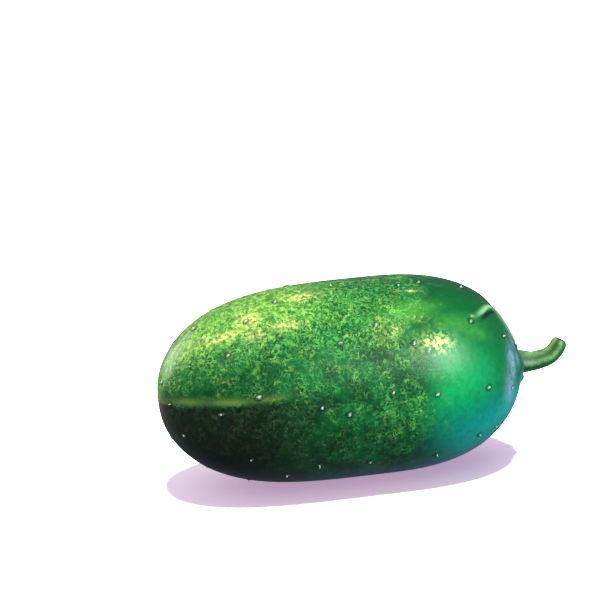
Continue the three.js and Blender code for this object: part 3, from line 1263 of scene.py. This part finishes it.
@dataclass
class Stem:
    """The stem: a five-ridged rod, flared where it joins the fruit and bent up to its cut end."""

    skin: Skin
    base_radius: float = 2.7 * MM
    tip_radius: float = 2.05 * MM
    # The flare at the foot, by shares of the stem's length.
    flare: Fade = Fade(0.25, 0.08, 0.35 * MM)
    ridges: int = 5
    ridge_share: float = 0.07
    ridge_turn: float = 0.5
    # The last part of the stem, as a share of its length, draws in towards the cut.
    tip_rounding: float = 0.1
    tip_rounding_depth: float = 0.6 * MM
    rings: int = 70
    sides: int = 80
    # The middle line from the bottom of the socket, in mm: along the fruit, up.
    line: tuple[tuple[float, float], ...] = (
        (-1.0, 0.1),
        (2.7, -0.2),
        (5.0, 0.0),
        (7.8, 0.8),
        (9.7, 2.5),
        (11.0, 4.8),
    )
    # The rings of the cut face: each one's share of the rim's size and its depth below the rim in mm.
    cut_rings: tuple[tuple[float, float], ...] = (
        (0.92, -0.06),
        (0.8, 0.02),
        (0.6, 0.12),
        (0.35, 0.2),
        (0.15, 0.22),
    )
    # The masks of the cut face: it is dull, whatever ridge it lies on.
    cut_masks: tuple[tuple[str, float], ...] = (("ridge", 0.2), ("cut", 1.0))

    def build(self, finish: RindFinish, groups: SharedGroups) -> bpy.types.Object:
        """Makes the stem.

        Args:
            finish: The rind's finish.
            groups: The shared node groups.

        Returns:
            The object.
        """
        knots = np.array(self.line) * MM
        place = np.linspace(0.0, len(knots) - 1.0, self.rings)
        along, up = (catmull_rom(column, place) for column in knots.T)
        middle = np.stack([along, np.zeros(self.rings), up], axis=1)
        heading = unit(np.gradient(middle, axis=0))
        across = np.array([0.0, -1.0, 0.0])
        upwards = np.cross(across, heading)
        travel = np.linspace(0.0, 1.0, self.rings)
        around = np.arange(self.sides) * FULL_TURN / self.sides
        ridged = np.cos(self.ridges * around + self.ridge_turn)
        radius = self.base_radius + (self.tip_radius - self.base_radius) * travel
        radius = radius + self.flare.at(travel)
        from_tip = (1.0 - travel) / self.tip_rounding
        radius = radius - self.tip_rounding_depth * np.maximum(0.0, 1.0 - from_tip) ** 2
        spread = radius[:, None] * (1.0 + self.ridge_share * ridged[None, :])
        sideways = spread[..., None] * np.cos(around)[None, :, None] * across
        rising = spread[..., None] * np.sin(around)[None, :, None] * upwards[:, None, :]
        points = [(middle[:, None, :] + sideways + rising).reshape(-1, 3)]
        masks = {
            "ridge": np.tile(0.5 + 0.5 * ridged, self.rings),
            "cut": np.zeros(self.rings * self.sides),
        }
        faces = self._side_faces()
        self._close(points, masks, faces, heading)
        foot = np.array(self.skin.stem_foot())
        placed = np.concatenate(points) @ foot[:3, :3].T + foot[:3, 3]
        piece = Piece("stem", Slot.STEM_RIND, "stem")
        return piece.publish(placed, faces, masks, finish.build(groups))

    def _side_faces(self) -> list[tuple[int, ...]]:
        """Joins the rings of the rod.

        Returns:
            The quads round it.
        """
        faces: list[tuple[int, ...]] = []
        for ring in range(self.rings - 1):
            for side in range(self.sides):
                onward = (side + 1) % self.sides
                low = ring * self.sides
                high = low + self.sides
                faces.append((low + side, high + side, high + onward, low + onward))
        return faces

    def _close(
        self,
        points: list[np.ndarray],
        masks: dict[str, np.ndarray],
        faces: list[tuple[int, ...]],
        heading: np.ndarray,
    ) -> None:
        """Closes the foot with a flat face and the tip with a slightly hollow cut.

        Args:
            points: The blocks of vertices: the rod's, to which the cut's are added.
            masks: The masks, which are lengthened to match.
            faces: The faces, to which the foot and the cut are added.
            heading: Which way the rod runs at each of its rings.
        """
        rod = points[0]
        faces.append(tuple(range(self.sides)))
        rim = rod[-self.sides :]
        centre = rim.mean(axis=0)
        start = len(rod) - self.sides
        for share, sink in self.cut_rings:
            count = sum(len(block) for block in points)
            points.append(centre + (rim - centre) * share - heading[-1] * sink * MM)
            for side in range(self.sides):
                onward = (side + 1) % self.sides
                faces.append((start + side, count + side, count + onward, start + onward))
            for name, value in self.cut_masks:
                masks[name] = np.concatenate([masks[name], np.full(self.sides, value)])
            start = count
        faces.append(tuple(start + side for side in reversed(range(self.sides))))


@dataclass
class Prickles:
    """The pale prickles, one on each wart."""

    skin: Skin
    warts: Warts
    length: float = 0.45 * MM
    radius: float = 0.17 * MM
    root: float = 0.12 * MM
    # How far up its wart a prickle starts, as a share of the wart's height.
    seat: float = 0.8
    sides: int = 8
    lean: float = 0.5
    # The shortest prickle and how much longer others can be, as shares of the length above.
    lengths: tuple[float, float] = (0.6, 0.7)
    length_draw: float = 5.0
    lean_draws: tuple[float, float, float] = (11.0, 12.0, 13.0)
    # Shares of a prickle's length and its radius there.
    profile: tuple[tuple[float, float], ...] = ((0.0, 1.0), (0.25, 0.8), (0.6, 0.5), (0.9, 0.25))
    # A direction that no prickle points in, which its rings are turned from.
    reference: tuple[float, float, float] = (0.3, 0.1, 0.9)

    def build(self, finish: SpineFinish, groups: SharedGroups, crown: float) -> bpy.types.Object:
        """Makes the prickles as one piece.

        Args:
            finish: The prickles' finish.
            groups: The shared node groups.
            crown: How high the warts that carry them are.

        Returns:
            The object.
        """
        sites = self.warts.sites(self.skin)
        feet = self.skin.points(sites[:, 0], sites[:, 1])
        normals = self.skin.normals(sites[:, 0], sites[:, 1])
        around = np.arange(self.sides) * FULL_TURN / self.sides
        least, spread = self.lengths
        points: list[np.ndarray] = []
        heights: list[np.ndarray] = []
        faces: list[tuple[int, ...]] = []
        for number, (foot, normal) in enumerate(zip(feet, normals)):
            push = np.array([scatter(number, draw) - 0.5 for draw in self.lean_draws]) * self.lean
            aim = unit(normal + push)
            first = unit(np.cross(aim, self.reference))
            second = np.cross(aim, first)
            long = self.length * (least + spread * scatter(number, self.length_draw))
            start = foot + normal * (crown * self.seat - self.root)
            base = sum(len(block) for block in points)
            for rise, width in self.profile:
                ring = np.cos(around)[:, None] * first + np.sin(around)[:, None] * second
                points.append(start + aim * (long * rise) + ring * self.radius * width)
                heights.append(np.full(self.sides, rise))
            points.append((start + aim * long)[None, :])
            heights.append(np.ones(1))
            faces.extend(self._spine_faces(base))
        masks = {"height": np.concatenate(heights)}
        piece = Piece("prickles", Slot.SPINE)
        return piece.publish(np.concatenate(points), faces, masks, finish.build(groups))

    def _spine_faces(self, base: int) -> list[tuple[int, ...]]:
        """Joins the rings of one prickle.

        Args:
            base: The number of its first vertex.

        Returns:
            Its faces.
        """
        sides, levels = self.sides, len(self.profile)
        faces = [tuple(base + side for side in reversed(range(sides)))]
        for level in range(levels - 1):
            low = base + level * sides
            for side in range(sides):
                onward = (side + 1) % sides
                faces.append((low + side, low + onward, low + sides + onward, low + sides + side))
        top = base + (levels - 1) * sides
        faces.extend((top + side, top + (side + 1) % sides, base + levels * sides) for side in range(sides))
        return faces


# ---------------------------------------------------------------------------------------------
# The studio
# ---------------------------------------------------------------------------------------------


@dataclass(frozen=True)
class Softbox:
    """One square area light that faces the fruit and lights nothing else."""

    name: str
    place: tuple[float, float, float]
    size: float
    power: float
    colour: tuple[float, float, float]
    glints: bool = True

    def build(self, target: Vector, lit: bpy.types.Collection) -> bpy.types.Object:
        """Makes the light.

        Args:
            target: The point that it faces.
            lit: The objects that it lights.

        Returns:
            The light.
        """
        data = bpy.data.lights.new(self.name, "AREA")
        data.shape = "SQUARE"
        data.size = self.size
        data.energy = self.power
        data.color = self.colour
        made = bpy.data.objects.new(self.name, data)
        made.location = self.place
        made.rotation_mode = "QUATERNION"
        made.rotation_quaternion = (target - made.location).to_track_quat("-Z", "Y")
        made.visible_glossy = self.glints
        made.light_linking.receiver_collection = lit
        bpy.context.scene.collection.objects.link(made)
        return made


@dataclass(frozen=True)
class FloorLight:
    """An overhead light that lights the floor alone, and lays the fruit's shadow on it."""

    name: str
    strength: float
    softness: float
    # Where the light is, as a direction from the fruit.
    towards: tuple[float, float, float]

    def build(self, lit: bpy.types.Collection, shading: bpy.types.Collection) -> bpy.types.Object:
        """Makes the light.

        Args:
            lit: The objects that it lights.
            shading: The objects that cast a shadow in it.

        Returns:
            The light.
        """
        data = bpy.data.lights.new(self.name, "SUN")
        data.energy = self.strength
        data.angle = self.softness
        made = bpy.data.objects.new(self.name, data)
        made.rotation_mode = "QUATERNION"
        made.rotation_quaternion = Vector(self.towards).to_track_quat("Z", "Y")
        made.light_linking.receiver_collection = lit
        made.light_linking.blocker_collection = shading
        bpy.context.scene.collection.objects.link(made)
        return made


@dataclass
class Studio:
    """A pale floor, soft lights and the camera."""

    azimuth: float = math.radians(-10.0)
    elevation: float = math.radians(15.5)
    roll: float = math.radians(-3.77)
    distance: float = 431.4 * MM
    lens: float = 100.0
    # How far the camera is turned off the target, as slopes.
    look_left: float = 0.0240
    look_up: float = 0.0471
    target: Vector = field(default_factory=lambda: Vector((0.0, 0.0, 25.0 * MM)))
    floor_side: float = 8.0
    floor_paper: tuple = (0.9, 0.9, 0.9, 1.0)
    floor_glow: tuple = (0.43, 0.29, 0.43, 1.0)
    sky_low: tuple = (0.11, 0.11, 0.14, 1.0)
    sky_high: tuple = (0.11, 0.12, 0.12, 1.0)
    sky_seen: tuple = (1.0, 1.0, 1.0, 1.0)
    lights: tuple[Softbox, ...] = (
        Softbox("key_left", (-0.28, -0.24, 0.55), 0.30, 6.1, (1.0, 0.99, 0.92), glints=False),
        Softbox("shoulder_box", (0.25, -0.36, 0.24), 0.20, 2.4, (0.97, 1.0, 0.98)),
        Softbox("cool_side", (0.45, -0.20, 0.00), 0.20, 5.0, (0.10, 0.85, 1.0), glints=False),
        Softbox("rim_back", (-0.34, 0.34, 0.16), 0.22, 0.8, (1.0, 1.0, 0.98)),
        Softbox("fill_back", (0.20, 0.44, 0.25), 0.30, 1.1, (0.95, 1.0, 1.0), glints=False),
    )
    floor_lights: tuple[FloorLight, ...] = (
        FloorLight("floor_sun", 12.0, math.radians(8.0), (0.04, -0.12, 1.0)),
        FloorLight("floor_dome", 1.5, math.radians(130.0), (-0.5, 0.2, 1.0)),
    )

    def build(self, pieces: list[bpy.types.Object]) -> None:
        """Makes the camera, the lights, the floor and the surroundings.

        Args:
            pieces: The gherkin's own pieces, which the softboxes light.
        """
        self._camera()
        lit = self._group("gherkin_lit", pieces)
        for light in self.lights:
            light.build(self.target, lit)
        floor_lit = self._group("floor_lit", [self._floor()])
        shading = self._group("floor_shading", pieces[:1])
        for light in self.floor_lights:
            light.build(floor_lit, shading)
        self._surroundings()
        bpy.context.scene.view_settings.view_transform = "Standard"

    @staticmethod
    def _group(name: str, members: list[bpy.types.Object]) -> bpy.types.Collection:
        """Puts objects in a collection that a light can be limited to.

        Args:
            name: The collection's name.
            members: The objects.

        Returns:
            The collection.
        """
        made = bpy.data.collections.new(name)
        for member in members:
            made.objects.link(member)
        return made

    def _camera(self) -> None:
        """Makes the camera: from the target out, then rolled, then turned off the target."""
        sideways, forwards = math.sin(self.azimuth), math.cos(self.azimuth)
        flat = math.cos(self.elevation)
        back = Vector((sideways * flat, -forwards * flat, math.sin(self.elevation)))
        level = Vector((forwards, sideways, 0.0))
        above = back.cross(level)
        right = level * math.cos(self.roll) + above * math.sin(self.roll)
        up = above * math.cos(self.roll) - level * math.sin(self.roll)
        backwards = (back + right * self.look_left - up * self.look_up).normalized()
        right = up.cross(backwards).normalized()
        up = backwards.cross(right)
        data = bpy.data.cameras.new("camera")
        data.lens = self.lens
        data.clip_start = 0.01
        camera = bpy.data.objects.new("camera", data)
        turned = Matrix((right, up, backwards)).transposed().to_4x4()
        camera.matrix_world = Matrix.Translation(self.target + back * self.distance) @ turned
        bpy.context.scene.collection.objects.link(camera)
        bpy.context.scene.camera = camera

    def _floor(self) -> bpy.types.Object:
        """Makes the floor, which glows a faint lavender so that the shadow on it is pale.

        Returns:
            The floor.
        """
        half = self.floor_side / 2.0
        mesh = bpy.data.meshes.new("floor")
        corners = [(-half, -half, 0), (half, -half, 0), (half, half, 0), (-half, half, 0)]
        mesh.from_pydata(corners, [], [(0, 1, 2, 3)])
        material = bpy.data.materials.new("floor")
        material.use_nodes = True
        material.node_tree.nodes.clear()
        graph = Graph(material.node_tree)
        paper = graph.node("ShaderNodeBsdfDiffuse", {"Color": self.floor_paper})
        glow = graph.node("ShaderNodeEmission", {"Color": self.floor_glow, "Strength": 1.0})
        both = graph.node("ShaderNodeAddShader", {0: paper.outputs[0], 1: glow.outputs[0]})
        graph.node("ShaderNodeOutputMaterial", {"Surface": both.outputs[0]})
        mesh.materials.append(material)
        floor = bpy.data.objects.new("floor", mesh)
        floor.visible_diffuse = False
        floor.visible_glossy = False
        bpy.context.scene.collection.objects.link(floor)
        return floor

    def _surroundings(self) -> None:
        """Makes the surroundings: white to the camera, but a dim light, violet from below."""
        world = bpy.data.worlds.new("surroundings")
        world.use_nodes = True
        world.node_tree.nodes.clear()
        graph = Graph(world.node_tree)
        where = graph.node("ShaderNodeTexCoord").outputs["Generated"]
        height = graph.node("ShaderNodeSeparateXYZ", {0: where}).outputs["Z"]
        colour = graph.mix(graph.ramp(height, -0.25, 0.35), self.sky_low, self.sky_high)
        seen = graph.node("ShaderNodeLightPath").outputs["Is Camera Ray"]
        shown = graph.mix(seen, colour, self.sky_seen)
        sky = graph.node("ShaderNodeBackground", {"Color": shown, "Strength": 1.0})
        graph.node("ShaderNodeOutputWorld", {"Surface": sky.outputs[0]})
        bpy.context.scene.world = world


def main() -> None:
    """Builds the studio and the gherkin."""
    logging.basicConfig(level=logging.INFO, format="%(name)s: %(message)s")
    groups = SharedGroups()
    skin, warts = Skin(), Warts()
    fruit = Fruit(skin, warts, Fold(), Colouring(skin))
    pieces = [
        fruit.build(SkinFinish(), groups),
        Stem(skin).build(RindFinish(), groups),
        Prickles(skin, warts).build(SpineFinish(), groups, fruit.wart_height),
    ]
    Studio().build(pieces)


if __name__ == "__main__":
    main()
